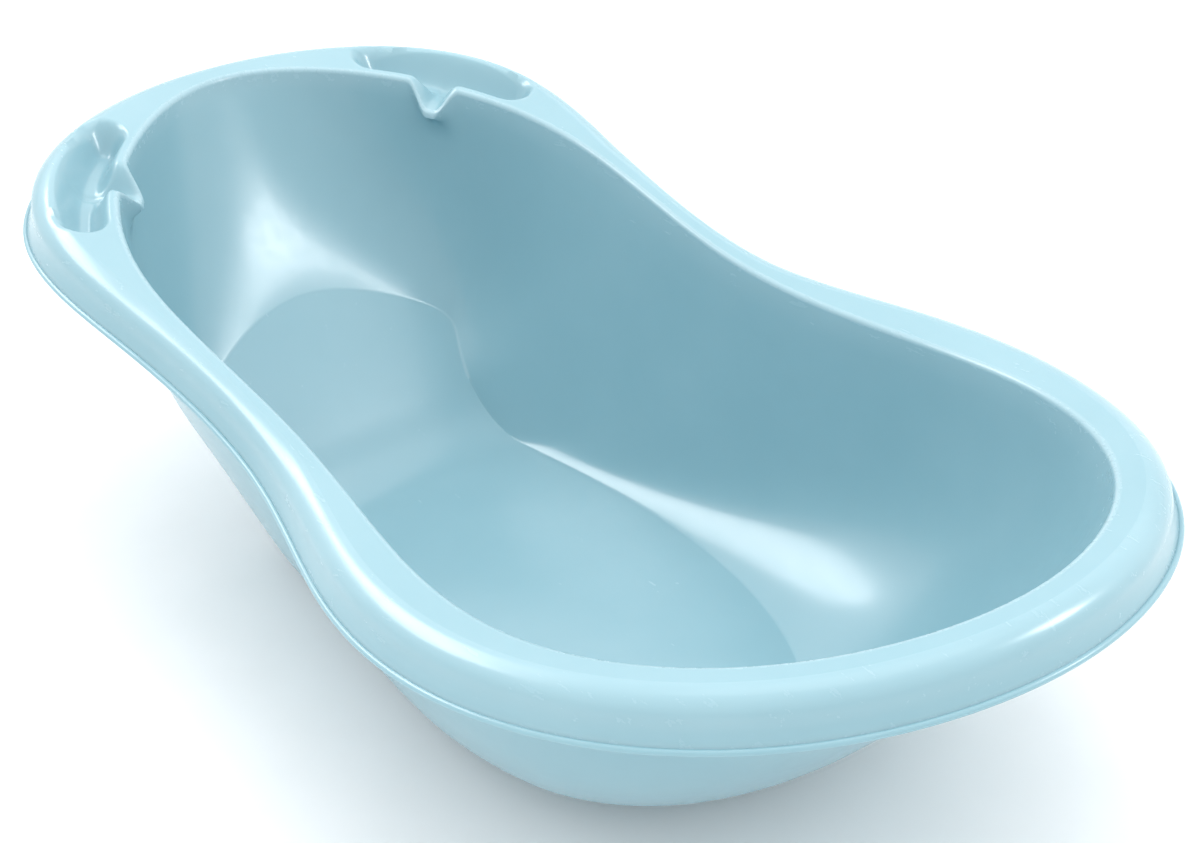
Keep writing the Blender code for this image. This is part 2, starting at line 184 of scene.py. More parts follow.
class Materials:
    """Builds each finish once."""

    CLOUD_SIZE = 90 * MM
    WIPE_SIZE = 7 * MM
    SINK_SIZE = 45 * MM
    PEEL_HEIGHT = 0.05 * MM
    SINK_HEIGHT = 0.5 * MM
    SINK_STRENGTH = 0.25
    # A paler colour for wear, which also paints a highlight along the lip, the shoulder and the
    # hem.
    WEAR_AND_HIGHLIGHT_COLOUR = (0.80, 0.88, 0.92, 1.0)
    WEAR_AND_HIGHLIGHT_STRENGTH = 0.16
    WORN_DULLING = 0.05
    GLOW_REACH = (2 * MM, 4 * MM, 5 * MM)
    COAT_ROUGHNESS = 0.10
    PLASTIC_IOR = 1.49
    DUST_GRAINS = 20
    DUST_SPREAD = 0.08
    PEBBLE_HEIGHT = 0.1 * MM

    def __init__(self) -> None:
        self.made: dict[str, bpy.types.Material] = {}

    def new_graph(self, name: str) -> tuple[bpy.types.Material, NodeGraph, bpy.types.Node]:
        """Start a material with an empty Principled shader."""
        mat = bpy.data.materials.new(name)
        mat.use_nodes = True
        graph = NodeGraph(mat.node_tree)
        return mat, graph, mat.node_tree.nodes["Principled BSDF"]

    def plastic(self, finish: PlasticFinish) -> bpy.types.Material:
        """Moulded polypropylene: even colour, faint flow clouds, orange peel, and edges paled by
        wear and a painted highlight.

        Args:
            finish: the finish's colours and pattern sizes.

        Returns:
            The material, made once for each finish.
        """
        if finish.name in self.made:
            return self.made[finish.name]
        mat, graph, shader = self.new_graph(finish.name)
        place = graph.add("ShaderNodeTexCoord").outputs["Object"]
        # Pigment clouds the size of a hand, where the melt flowed: the colour is never quite even.
        clouds = graph.add("ShaderNodeTexNoise", {"Vector": place, "Scale": 1 / self.CLOUD_SIZE,
                                                  "Detail": 3.0})
        base = graph.add("ShaderNodeMix", {"Factor": clouds.outputs["Fac"],
                                           "A": linear(finish.shade),
                                           "B": linear(finish.colour)}, data_type="RGBA")
        # Wear pales the lip, the shoulder and the hem and dulls them slightly; the paler colour is
        # also a painted highlight there.
        wear_and_highlight = graph.add("ShaderNodeAttribute", attribute_name="wear_and_highlight")
        wear_and_highlight_mix = graph.add("ShaderNodeMath", {0: wear_and_highlight.outputs["Fac"], 1: self.WEAR_AND_HIGHLIGHT_STRENGTH},
                         operation="MULTIPLY")
        edge = graph.add("ShaderNodeMix", {"Factor": wear_and_highlight_mix.outputs[0], "A": base.outputs["Result"],
                                           "B": self.WEAR_AND_HIGHLIGHT_COLOUR}, data_type="RGBA")
        graph.tree.links.new(edge.outputs["Result"], shader.inputs["Base Color"])
        # Wiping marks: fine streaks along the tub that break the gloss a little.
        stretch = graph.add("ShaderNodeMapping", {"Vector": place, "Scale": (0.25, 1.0, 1.0)})
        wipes = graph.add("ShaderNodeTexNoise", {"Vector": stretch.outputs[0],
                                                 "Scale": 1 / self.WIPE_SIZE,
                                                 "Detail": 6.0, "Roughness": 0.65})
        low = finish.roughness - finish.roughness_spread / 2
        gloss = graph.add("ShaderNodeMapRange", {"Value": wipes.outputs["Fac"], "From Min": 0.3,
                                                 "From Max": 0.7, "To Min": low,
                                                 "To Max": low + finish.roughness_spread})
        dull = graph.add("ShaderNodeMath", {0: wear_and_highlight.outputs["Fac"], 1: self.WORN_DULLING,
                                               2: gloss.outputs[0]}, operation="MULTIPLY_ADD")
        graph.tree.links.new(dull.outputs[0], shader.inputs["Roughness"])
        # Orange peel of the moulding, with a slower waviness from sinking as it cools.
        peel = graph.add("ShaderNodeTexNoise", {"Vector": place,
                                                "Scale": 1 / (finish.grain_mm * MM), "Detail": 2.0})
        sink = graph.add("ShaderNodeTexNoise", {"Vector": place, "Scale": 1 / self.SINK_SIZE,
                                                "Detail": 1.0})
        fine = graph.add("ShaderNodeBump", {"Height": peel.outputs["Fac"],
                                            "Strength": finish.grain_depth,
                                            "Distance": self.PEEL_HEIGHT})
        slow = graph.add("ShaderNodeBump", {"Height": sink.outputs["Fac"],
                                            "Strength": self.SINK_STRENGTH,
                                            "Distance": self.SINK_HEIGHT,
                                            "Normal": fine.outputs[0]})
        graph.tree.links.new(slow.outputs[0], shader.inputs["Normal"])
        # Polypropylene lets a little light in, which softens its shadows.
        shader.inputs["Subsurface Weight"].default_value = finish.glow
        shader.inputs["Subsurface Radius"].default_value = self.GLOW_REACH
        shader.inputs["Subsurface Scale"].default_value = 1.0
        shader.inputs["Coat Weight"].default_value = finish.coat
        shader.inputs["Coat Roughness"].default_value = self.COAT_ROUGHNESS
        shader.inputs["IOR"].default_value = self.PLASTIC_IOR
        self.made[finish.name] = mat
        return mat

    def rubber(self, finish: RubberFinish) -> bpy.types.Material:
        """Soft rubber: matt and dusty, with a fine pebbled skin and pale bloom.

        Args:
            finish: the finish's colours and pattern sizes.

        Returns:
            The material, made once for each finish.
        """
        if finish.name in self.made:
            return self.made[finish.name]
        mat, graph, shader = self.new_graph(finish.name)
        place = graph.add("ShaderNodeTexCoord").outputs["Object"]
        # Pale bloom that gathers in soft patches a few millimetres across.
        patch = self.DUST_GRAINS * finish.grain_mm * MM
        dust = graph.add("ShaderNodeTexNoise", {"Vector": place, "Scale": 1 / patch, "Detail": 5.0})
        base = graph.add("ShaderNodeMix", {"Factor": dust.outputs["Fac"],
                                           "A": linear(finish.colour),
                                           "B": linear(finish.bloom)}, data_type="RGBA")
        graph.tree.links.new(base.outputs["Result"], shader.inputs["Base Color"])
        rough = graph.add("ShaderNodeMapRange", {"Value": dust.outputs["Fac"],
                                                 "To Min": finish.roughness - self.DUST_SPREAD,
                                                 "To Max": finish.roughness + self.DUST_SPREAD})
        graph.tree.links.new(rough.outputs[0], shader.inputs["Roughness"])
        # Pebbled skin left by the blasted mould.
        skin = graph.add("ShaderNodeTexVoronoi", {"Vector": place,
                                                  "Scale": 1 / (finish.grain_mm * MM)})
        bump = graph.add("ShaderNodeBump", {"Height": skin.outputs["Distance"],
                                            "Strength": finish.grain_depth,
                                            "Distance": self.PEBBLE_HEIGHT})
        graph.tree.links.new(bump.outputs[0], shader.inputs["Normal"])
        self.made[finish.name] = mat
        return mat


# ---------------------------------------------------------------- splines
def mirrored(half_loop: Sequence[Sequence[float]]) -> Array:
    """Close a half loop of (x, y) or (value,) rows with its mirror image."""
    half = np.array(half_loop, float)
    other = half[-2:0:-1].copy()
    if half.shape[1] == 2:
        other[:, 1] *= -1
    return np.vstack([half, other])


def blend_weights(fraction: Array) -> Array:
    """Weights of the four control points round a place on a uniform cubic B-spline."""
    f = fraction
    return np.stack([(1 - f) ** 3, 3 * f ** 3 - 6 * f ** 2 + 4,
                     -3 * f ** 3 + 3 * f ** 2 + 3 * f + 1, f ** 3], axis=-1) / 6


def loop_at(controls: Array, shares: Array) -> Array:
    """Points of a closed spline at the given shares of the way round."""
    place = np.asarray(shares, float) * len(controls)
    cell = np.floor(place).astype(int)
    weights = blend_weights(place - cell)
    near = np.stack([controls[(cell + k) % len(controls)] for k in (-1, 0, 1, 2)], axis=1)
    return np.einsum("ij,ijk->ik", weights, near)


def profile_at(values: Sequence[float], shares: Array) -> Array:
    """Heights of an open spline that starts and ends at its first and last values."""
    known = np.asarray(values, float)
    padded = np.concatenate([[2 * known[0] - known[1]], known, [2 * known[-1] - known[-2]]])
    place = np.clip(shares, 0, 1) * (len(known) - 1)
    cell = np.minimum(np.floor(place).astype(int), len(known) - 2)
    near = np.stack([padded[cell + k] for k in range(4)], axis=-1)
    return (blend_weights(place - cell) * near).sum(axis=-1)


def smooth_step(value: Array) -> Array:
    """Ease from 0 to 1."""
    value = np.clip(value, 0, 1)
    return value * value * (3 - 2 * value)


def smooth_max(a: Array, b: Array, blend: float) -> Array:
    """The larger of two depths, rounded over where they cross, and 0 where both are 0."""
    return (a + b + np.sqrt((a - b) ** 2 + blend ** 2) - blend) / 2


# ---------------------------------------------------------------- mesh helpers
def link(obj: bpy.types.Object) -> bpy.types.Object:
    """Put an object in the scene."""
    bpy.context.scene.collection.objects.link(obj)
    return obj


def object_from(name: str, bm: bmesh.types.BMesh, mat: bpy.types.Material,
                sharp_degrees: float = 40.0) -> bpy.types.Object:
    """Turn a bmesh into a smooth-shaded object.

    Args:
        name: the object's name.
        bm: the mesh, which is freed.
        mat: its material.
        sharp_degrees: edges that bend more than this stay crisp.

    Returns:
        The new object, linked at the origin.
    """
    bmesh.ops.recalc_face_normals(bm, faces=bm.faces)
    mesh = bpy.data.meshes.new(name)
    bm.to_mesh(mesh)
    bm.free()
    mesh.shade_smooth()
    mesh.set_sharp_from_angle(angle=math.radians(sharp_degrees))
    mesh.materials.append(mat)
    return link(bpy.data.objects.new(name, mesh))


def applied(obj: bpy.types.Object) -> bpy.types.Object:
    """Make an object's modifiers part of its mesh, and drop them."""
    bpy.context.view_layer.update()
    evaluated = obj.evaluated_get(bpy.context.evaluated_depsgraph_get())
    mesh = bpy.data.meshes.new_from_object(evaluated)
    old = obj.data
    obj.modifiers.clear()
    if obj.type == "MESH":
        obj.data = mesh
        bpy.data.meshes.remove(old)
        mesh.name = obj.name
        return obj
    name = obj.name
    place = obj.matrix_world.copy()
    bpy.data.objects.remove(obj, do_unlink=True)
    mesh.transform(place)
    mesh.name = name
    return link(bpy.data.objects.new(name, mesh))


def turned(name: str, profile: Sequence[tuple[float, float]], centre: tuple[float, float],
           mat: bpy.types.Material, steps: int = 96) -> bpy.types.Object:
    """Turn an outline of (radius, z) points round an upright axis.

    Args:
        name: the object's name.
        profile: the outline, from axis to axis, or a closed ring where it never meets the axis.
        centre: the axis in plan.
        mat: the material.
        steps: faces round the axis.

    Returns:
        The turned object.
    """
    bm = bmesh.new()
    turns = np.linspace(0, 2 * math.pi, steps, endpoint=False)
    closed = profile[0][0] > 0
    rings: list[list[bmesh.types.BMVert]] = []
    for radius, z in profile:
        if radius <= 0:
            rings.append([bm.verts.new((centre[0], centre[1], z))])
            continue
        rings.append([bm.verts.new((centre[0] + radius * math.cos(t),
                                    centre[1] + radius * math.sin(t), z)) for t in turns])
    following = rings[1:] + rings[:1] if closed else rings[1:]
    for a, b in zip(rings, following):
        for k in range(steps):
            n = (k + 1) % steps
            corners = [a[k % len(a)], a[n % len(a)], b[n % len(b)], b[k % len(b)]]
            unique = list(dict.fromkeys(corners))
            if len(unique) > 2:
                bm.faces.new(unique)
    return object_from(name, bm, mat)


def boolean(obj: bpy.types.Object, tool: bpy.types.Object, operation: str) -> None:
    """Cut or join with an exact Boolean."""
    step = obj.modifiers.new(operation.lower(), "BOOLEAN")
    step.operation = operation
    step.solver = "EXACT"
    step.object = tool


def rounded_outline(corners: Sequence[tuple[float, float, float]],
                    steps: int = 5) -> list[tuple[float, float]]:
    """Round the corners of an open outline.

    Args:
        corners: (radius, z, fillet) rows; the first and last keep no fillet.
        steps: points round each fillet.

    Returns:
        The outline's points.
    """
    points: list[tuple[float, float]] = [corners[0][:2]]
    for before, here, after in zip(corners, corners[1:], corners[2:]):
        centre = Vector(here[:2])
        back = Vector(before[:2]) - centre
        ahead = Vector(after[:2]) - centre
        cut = min(here[2], back.length / 2, ahead.length / 2)
        start = centre + back.normalized() * cut
        end = centre + ahead.normalized() * cut
        for k in range(steps + 1):
            t = k / steps
            spot = start * (1 - t) ** 2 + centre * (2 * t * (1 - t)) + end * t ** 2
            points.append((spot.x, spot.y))
    points.append(corners[-1][:2])
    return points


# ---------------------------------------------------------------- the tub's form
@dataclass(frozen=True)
class TubForm:
    """Sizes and outlines of the moulding.

    The loops are half outlines of the edge, the floor and the walls' fullest line, head to foot,
    in shares of the shoulder's half length and half width. The rises are evenly spaced along X.
    """

    length: float = 0.84
    width: float = 0.49
    waist_height: float = 0.190
    wall: float = 0.003
    mouth_loop: tuple = ((-0.96, 0.00), (-0.87, 0.35), (-0.675, 0.64), (-0.435, 0.775),
                         (-0.045, 0.70), (0.27, 0.83), (0.56, 0.865), (0.845, 0.575), (0.967, 0.00))
    floor_loop: tuple = ((-0.76, 0.00), (-0.68, 0.38), (-0.63, 0.50), (-0.57, 0.39),
                         (-0.37, 0.45), (-0.025, 0.525), (0.30, 0.42), (0.48, 0.215), (0.538, 0.00))
    belly_loop: tuple = ((-0.87, 0.00), (-0.80, 0.45), (-0.63, 0.69), (-0.375, 0.655),
                         (-0.05, 0.64), (0.293, 0.82), (0.57, 0.86), (0.705, 0.56), (0.752, 0.00))
    rim_widths: tuple = (0.021, 0.047, 0.071, 0.018, 0.021, 0.044, 0.035, 0.033, 0.030)
    rim_rises: tuple = (0.084, 0.062, 0.035, 0.004, 0.0, 0.017, 0.049)
    lip_radius: float = 0.004
    band_slope: float = 0.20
    roll_width: float = 0.016
    roll_drop: float = 0.012
    roll_share: float = 0.7
    skirt_drop: float = 0.023
    skirt_flare: float = 0.006
    skirt_sweep: float = 1.6
    ground_clearance: float = 0.006
    belly_shares: tuple = (0.38, 0.37, 0.26, 0.10, 0.10, 0.15, 0.20, 0.22, 0.22)
    draft: float = 0.003
    seat_start: float = -0.165
    seat_round: float = 0.06
    seat_slope: float = 1.0
    tray_from: float = 0.066
    tray_to: float = 0.148
    tray_margin: float = 0.006
    tray_half_width: float = 0.019
    tray_depth: float = 0.022
    tray_slope_run: float = 0.0175
    tray_fullness: float = 0.8
    tray_blend: float = 0.004
    spout_reach: float = 0.012
    spout_drop: float = 0.019
    spout_half_width: float = 0.0215
    spout_tip_share: float = 0.12
    spout_root: float = 0.035
    spout_root_curve: float = 1.5
    spout_tray_depth: float = 0.021

    @property
    def scale(self) -> Array:
        """Half the shoulder's length and width."""
        return np.array([self.length / 2 - self.skirt_flare, self.width / 2 - self.skirt_flare])

    @property
    def floor_top(self) -> float:
        """Height of the flat floor's upper face."""
        return self.ground_clearance + self.wall

    def edge_height(self, x: Array) -> Array:
        """Height of the basin edge above the ground."""
        return self.waist_height + profile_at(self.rim_rises, (x + self.length / 2) / self.length)

    def floor_height(self, x: Array) -> Array:
        """Height of the floor's top: flat, then climbing to the back rest."""
        run = np.maximum(self.seat_start - x, 0)
        bend = np.minimum(run, self.seat_round)
        return self.floor_top + self.seat_slope * (bend ** 2 / (2 * self.seat_round) + run - bend)


class Sections:
    """The tub's sections at shares of the way round the basin edge, head to head."""

    def __init__(self, form: TubForm, shares: Array) -> None:
        self.form = form
        step = 1e-4
        mouth = mirrored(form.mouth_loop) * form.scale
        self.mouth = loop_at(mouth, shares)
        along = loop_at(mouth, shares + step) - loop_at(mouth, shares - step)
        pace = np.linalg.norm(along, axis=1)
        along /= pace[:, None]
        self.pace = pace / (2 * step)
        self.out = np.stack([-along[:, 1], along[:, 0]], axis=1)
        self.width = loop_at(mirrored([[w] for w in form.rim_widths]), shares)[:, 0]
        self.roll = np.minimum(form.roll_width, form.roll_share * (self.width - form.lip_radius))
        self.floor = loop_at(mirrored(form.floor_loop) * form.scale, shares)
        self.floor_z = form.floor_height(self.floor[:, 0])
        belly = loop_at(mirrored(form.belly_loop) * form.scale, shares)
        overhang = ((belly - self.mouth) * self.out).sum(axis=1) + form.draft
        self.belly = belly - self.out * np.maximum(overhang, 0)[:, None]
        self.edge_z = form.edge_height(self.mouth[:, 0])
        self.belly_share = loop_at(mirrored([[b] for b in form.belly_shares]), shares)[:, 0]
        half = np.minimum(shares % 1, 1 - shares % 1)
        self.from_tray = (half - (form.tray_from + form.tray_to) / 2) * self.pace
        self.tray_half = (form.tray_to - form.tray_from) / 2 * self.pace

    def spout(self, share: Array | float) -> Array:
        """How fully each section lies in the pouring lip, at a share of its full width."""
        tip = self.form.spout_tip_share
        across = np.abs(self.from_tray) / (self.form.spout_half_width * share)
        return 1 - smooth_step((across - tip) / (1 - tip))

    def hollow(self, reach: Array) -> Array:
        """Depth of the soap tray and its pouring channel below the rim's top."""
        f = self.form
        end = np.maximum(np.abs(self.from_tray) - (self.tray_half - f.tray_half_width), 0)
        inside = f.tray_half_width - np.hypot(end, reach - f.tray_margin - f.tray_half_width)
        tray = f.tray_depth * smooth_step(inside / f.tray_slope_run) ** f.tray_fullness
        run = np.clip(reach / (f.tray_margin + f.tray_half_width), 0, 1)
        bed = f.spout_drop + (f.spout_tray_depth - f.spout_drop) * run
        fade = smooth_step((f.tray_margin + 2 * f.tray_half_width - reach) / f.tray_half_width)
        return smooth_max(tray, bed * self.spout(1 - run / 2) * fade, f.tray_blend)

    def rim_point(self, reach: Array | float) -> Array:
        """Points on the rim's top, `reach` outwards from the basin edge."""
        f = self.form
        reach = np.broadcast_to(reach, self.width.shape)
        flat_end = self.width - self.roll
        turn = np.clip((reach - flat_end) / self.roll, 0, 1)
        lip = np.clip(1 - reach / f.lip_radius, 0, 1)
        z = (self.edge_z + f.band_slope * np.maximum(np.minimum(reach, flat_end) - f.lip_radius, 0)
             - f.roll_drop * (1 - np.sqrt(1 - turn ** 2))
             - f.lip_radius * (1 - np.sqrt(1 - lip ** 2)) - self.hollow(reach))
        pull = np.clip(1 - reach / (f.tray_margin + f.tray_half_width), 0, 1)
        plan = self.mouth + self.out * (reach - f.spout_reach * self.spout(1.0) * pull)[:, None]
        return np.column_stack([plan, z])

    def wall_point(self, climb: float) -> Array:
        """Points on the basin wall, from the floor (0) to the basin edge (1)."""
        f = self.form
        low, mid, high = (1 - climb) ** 2, 2 * climb * (1 - climb), climb ** 2
        top_z = self.edge_z - f.lip_radius
        belly_z = self.floor_z + self.belly_share * (top_z - self.floor_z)
        plan = self.floor * low + self.belly * mid + self.mouth * high
        z = self.floor_z * low + belly_z * mid + top_z * high
        root = np.clip(1 - (top_z - z) / f.spout_root, 0, 1) ** f.spout_root_curve
        swell = self.spout(1.0) * root
        return np.column_stack([plan - self.out * (f.spout_reach * swell)[:, None],
                                z - f.spout_drop * swell])

    def hem_point(self, share: float) -> Array:
        """Points down the skirt, from the shoulder (0) to the hem (1)."""
        f = self.form
        start = self.rim_point(self.width)
        end = np.column_stack([self.mouth + self.out * (self.width + f.skirt_flare)[:, None],
                               self.edge_z - f.skirt_drop])
        # The skirt sweeps out towards its hem rather than leaning evenly.
        lean = share ** f.skirt_sweep
        mixed = start * (1 - share) + end * share
        mixed[:, :2] = start[:, :2] * (1 - lean) + end[:, :2] * lean
        return mixed


# ---------------------------------------------------------------- the tub
@dataclass(frozen=True)
class WearAndHighlight:
    """How far wear, and a painted highlight along the lip, shoulder and hem, pale each part of the
    tub, from 0 to 1.
    """

    floor: float = 0.1
    floor_edge: float = 0.15
    wall: float = 0.0
    below_lip: float = 0.1
    lip_foot: float = 0.5
    lip: float = 0.8
    band_start: float = 0.35
    band: float = 0.12
    shoulder: float = 0.3
    skirt: float = 0.2
    hem: float = 0.9


@dataclass(frozen=True)
class Socket:
    """A round collar under the floor, and the height that its bore reaches up to."""

    place: tuple[float, float]
    radius: float
    wall: float
    bottom: float
    bore_top: float


@dataclass
class TubShell:
    """The whole moulding, with its drain collar and pad sockets."""

    form: TubForm
    finish: PlasticFinish
    drain_x: float = 0.150
    drain_radius: float = 0.018
    collar_wall: float = 0.004
    collar_bottom: float = 0.002
    socket_radius: float = 0.0143
    socket_wall: float = 0.003
    socket_bottom: float = 0.003
    socket_bite: float = 0.0005
    wall_rows: int = 20
    lip_rows: int = 4
    band_rows: int = 32
    roll_rows: int = 7
    skirt_rows: int = 3
    floor_strips: int = 10
    crease: float = 0.0018
    first_climb: float = 0.012
    climb_spacing: float = 1.25
    lip_run: float = 0.012
    tray_run: float = 0.004
    stations: tuple = (16, 44, 42, 44, 80)
    socket_fillet: float = 0.0008
    socket_steps: int = 72
    sharp_degrees: float = 48.0
    wear_and_highlight: WearAndHighlight = WearAndHighlight()

    def shares(self) -> Array:
        """Shares of the way round, closest together through the pouring lips and trays."""
        f = self.form
        middle = (f.tray_from + f.tray_to) / 2
        edges = (0.0, f.tray_from - self.tray_run, middle - self.lip_run, middle + self.lip_run,
                 f.tray_to + self.tray_run, 0.5)
        half = np.concatenate([np.linspace(a, b, n, endpoint=False)
                               for a, b, n in zip(edges, edges[1:], self.stations)] + [[0.5]])
        return np.concatenate([half, 1 - half[-2:0:-1]])

    def rows(self, at: Sections) -> tuple[list[Array], list[float]]:
        """Rows of points over the sheet's upper side, and how much wear and painted highlight pale
        each row.
        """
        f = self.form
        marks = self.wear_and_highlight
        rest = 1 - self.first_climb
        climbs = [0.0, self.first_climb]
        climbs += [self.first_climb + rest * (k / self.wall_rows) ** self.climb_spacing
                   for k in range(1, self.wall_rows + 1)]
        rows = [at.wall_point(c) for c in climbs]
        # The lip, the band's first row, the shoulder and the hem are paled most: painted highlight
        # on top of wear.
        wear_and_highlight = [marks.floor_edge, *[marks.wall] * (len(climbs) - 3), marks.below_lip, marks.lip_foot]
        for k in range(1, self.lip_rows):
            turn = math.pi / 2 * k / self.lip_rows
            rows.append(at.rim_point(f.lip_radius * (1 - math.cos(turn))))
            wear_and_highlight.append(marks.lip)
        band = at.width - at.roll - f.lip_radius
        for k in range(self.band_rows):
            rows.append(at.rim_point(f.lip_radius + band * k / self.band_rows))
            wear_and_highlight.append(marks.band_start if k == 0 else marks.band)
        for k in range(self.roll_rows + 1):
            turn = 1 - math.sin(math.pi / 2 * k / self.roll_rows)
            rows.append(at.rim_point(at.width - at.roll * turn))
            wear_and_highlight.append(marks.shoulder)
        for k in range(1, self.skirt_rows + 1):
            rows.append(at.hem_point(k / self.skirt_rows))
            wear_and_highlight.append(marks.skirt if k < self.skirt_rows else marks.hem)
        return rows, wear_and_highlight

    def sheet(self, mat: bpy.types.Material) -> bpy.types.Object:
        """Loft the sheet's upper side and thicken it downwards and outwards."""
        shares = self.shares()
        count = len(shares)
        rows, wear_and_highlight = self.rows(Sections(self.form, shares))
        bm = bmesh.new()
        # Per vertex: how much wear and painted highlight pale the plastic there.
        wear_and_highlight_layer = bm.verts.layers.float.new("wear_and_highlight")
        grid: list[list[bmesh.types.BMVert]] = []
        for row, amount in zip(rows, wear_and_highlight):
            verts = [bm.verts.new(point) for point in row]
            for vert in verts:
                vert[wear_and_highlight_layer] = amount
            grid.append(verts)
        for low, high in zip(grid, grid[1:]):
            for k in range(count):
                n = (k + 1) % count
                bm.faces.new((low[k], low[n], high[n], high[k]))
        self.fill_floor(bm, grid[0], wear_and_highlight_layer)
        bmesh.ops.remove_doubles(bm, verts=bm.verts, dist=MERGE_DISTANCE)
        bmesh.ops.recalc_face_normals(bm, faces=bm.faces)
        if min(bm.faces, key=lambda f: f.calc_center_median().length).normal.z < 0:
            bmesh.ops.reverse_faces(bm, faces=bm.faces)
        mesh = bpy.data.meshes.new("tub")
        bm.to_mesh(mesh)
        bm.free()
        mesh.materials.append(mat)
        tub = link(bpy.data.objects.new("tub", mesh))
        skin = tub.modifiers.new("wall", "SOLIDIFY")
        skin.thickness = self.form.wall
        skin.offset = -1
        skin.use_even_offset = True
        return tub

    def fill_floor(self, bm: bmesh.types.BMesh, edge: list[bmesh.types.BMVert],
                   wear_and_highlight_layer: bmesh.types.BMLayerItem) -> None:
        """Fill the floor panel across, with a narrow strip beside its creased edge."""
        strips = []
        for k in range(len(edge) // 2 + 1):
            left, right = edge[k], edge[-k]
            span = (left.co - right.co).length
            near = min(self.crease / max(span, MERGE_DISTANCE), 0.5 / self.floor_strips)
            inner = []
            for t in [near, *np.linspace(0, 1, self.floor_strips + 1)[1:-1], 1 - near]:
                inner.append(bm.verts.new(left.co.lerp(right.co, float(t))))
                inner[-1][wear_and_highlight_layer] = self.wear_and_highlight.floor
            strips.append([left, *inner, right])
        for a, b in zip(strips, strips[1:]):
            for j in range(len(a) - 1):
                corners = list(dict.fromkeys((a[j], a[j + 1], b[j + 1], b[j])))
                if len(corners) > 2:
                    bm.faces.new(corners)

    def build(self, materials: Materials, pads: dict[str, tuple[float, float]]) -> bpy.types.Object:
        """Make the tub.

        Args:
            materials: where the finish comes from.
            pads: the foot pads' places, for their sockets.

        Returns:
            The finished tub, riding on its body.
        """
        mat = materials.plastic(self.finish)
        tub = self.sheet(mat)
        middle = self.form.ground_clearance + self.form.wall / 2
        below = -self.form.wall
        sockets = [Socket((self.drain_x, 0.0), self.drain_radius, self.collar_wall,
                          self.collar_bottom, self.form.floor_top + self.form.wall)]
        sockets += [Socket(place, self.socket_radius, self.socket_wall, self.socket_bottom,
                           self.form.ground_clearance + self.socket_bite)
                    for place in pads.values()]
        tools = []
        for socket in sockets:
            outer = socket.radius + socket.wall
            outline = rounded_outline([(0, socket.bottom, 0),
                                       (outer, socket.bottom, self.socket_fillet),
                                       (outer, middle, 0), (0, middle, 0)])
            boss = turned("boss", outline, socket.place, mat, self.socket_steps)
            boolean(tub, boss, "UNION")
            tools.append(boss)
        for socket in sockets:
            outline = [(0, below), (socket.radius, below), (socket.radius, socket.bore_top),
                       (0, socket.bore_top)]
            hollow = turned("hollow", outline, socket.place, mat, self.socket_steps)
            boolean(tub, hollow, "DIFFERENCE")
            tools.append(hollow)
        applied(tub)
        for tool in tools:
            bpy.data.objects.remove(tool, do_unlink=True)
        tub.data.shade_smooth()
        tub.data.set_sharp_from_angle(angle=math.radians(self.sharp_degrees))
        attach(tub, Body.TUB.value)
        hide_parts("tub_shell")
        return tub


@dataclass
class HemBead:
    """The small rolled bead along the skirt's bottom edge."""

    form: TubForm
    finish: PlasticFinish
    radius: float = 0.0019
    lift_share: float = 0.4
    stations: int = 520
    sides: int = 12

    def build(self, materials: Materials) -> bpy.types.Object:
        """Sweep the bead's round section along the hem with Geometry Nodes."""
        shares = np.linspace(0, 1, self.stations, endpoint=False)
        path = Sections(self.form, shares).hem_point(1.0)
        path[:, 2] += self.radius * self.lift_share
        mesh = bpy.data.meshes.new("hem_bead")
        edges = [(k, (k + 1) % self.stations) for k in range(self.stations)]
        mesh.from_pydata(path.tolist(), edges, [])
        bead = link(bpy.data.objects.new("hem_bead", mesh))
        mat = materials.plastic(self.finish)
        graph, ends, (size,) = modifier_tree("sweep_bead", ["Radius"])
        curve = graph.add("GeometryNodeMeshToCurve", {"Mesh": ends.outputs["Geometry"]})
        ring = graph.add("GeometryNodeCurvePrimitiveCircle", {"Resolution": self.sides,
                                                              "Radius": ends.outputs["Radius"]})
        tube = graph.add("GeometryNodeCurveToMesh", {"Curve": curve.outputs["Curve"],
                                                     "Profile Curve": ring.outputs["Curve"]})
        smooth = graph.add("GeometryNodeSetShadeSmooth", {0: tube.outputs["Mesh"]})
        dressed = graph.add("GeometryNodeSetMaterial", {"Geometry": smooth.outputs[0],
                                                        "Material": mat})
        graph.add("NodeGroupOutput", {"Geometry": dressed.outputs["Geometry"]})
        step = bead.modifiers.new("sweep", "NODES")
        step.node_group = graph.tree
        step[size] = self.radius
        applied(bead)
        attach(bead, Body.TUB.value)
        return bead


